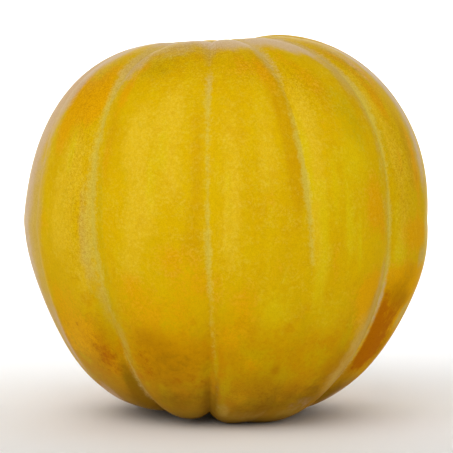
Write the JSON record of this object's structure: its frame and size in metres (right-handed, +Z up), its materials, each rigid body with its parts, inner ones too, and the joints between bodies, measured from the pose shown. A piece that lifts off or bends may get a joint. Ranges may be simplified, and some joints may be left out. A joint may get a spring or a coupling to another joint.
{
  "type": "melon",
  "caption": "Whole ribbed yellow melon, near round, with soft grooves running from end to end, resting upright on small flats under its lowest lobes.",
  "frame": {"origin": "middle of the footprint's box on the surface that the melon rests on", "axes": "+Z up through the stem end, +X along the widest side-to-side extent, -Y towards the viewer"},
  "size_m": [0.14, 0.1356, 0.1315],
  "materials": {
    "melon_skin": "satin natural rind, golden yellow with paler grooves and orange patches"
  },
  "bodies": {
    "root": {"melon": "melon_skin"}
  },
  "joints": []
}
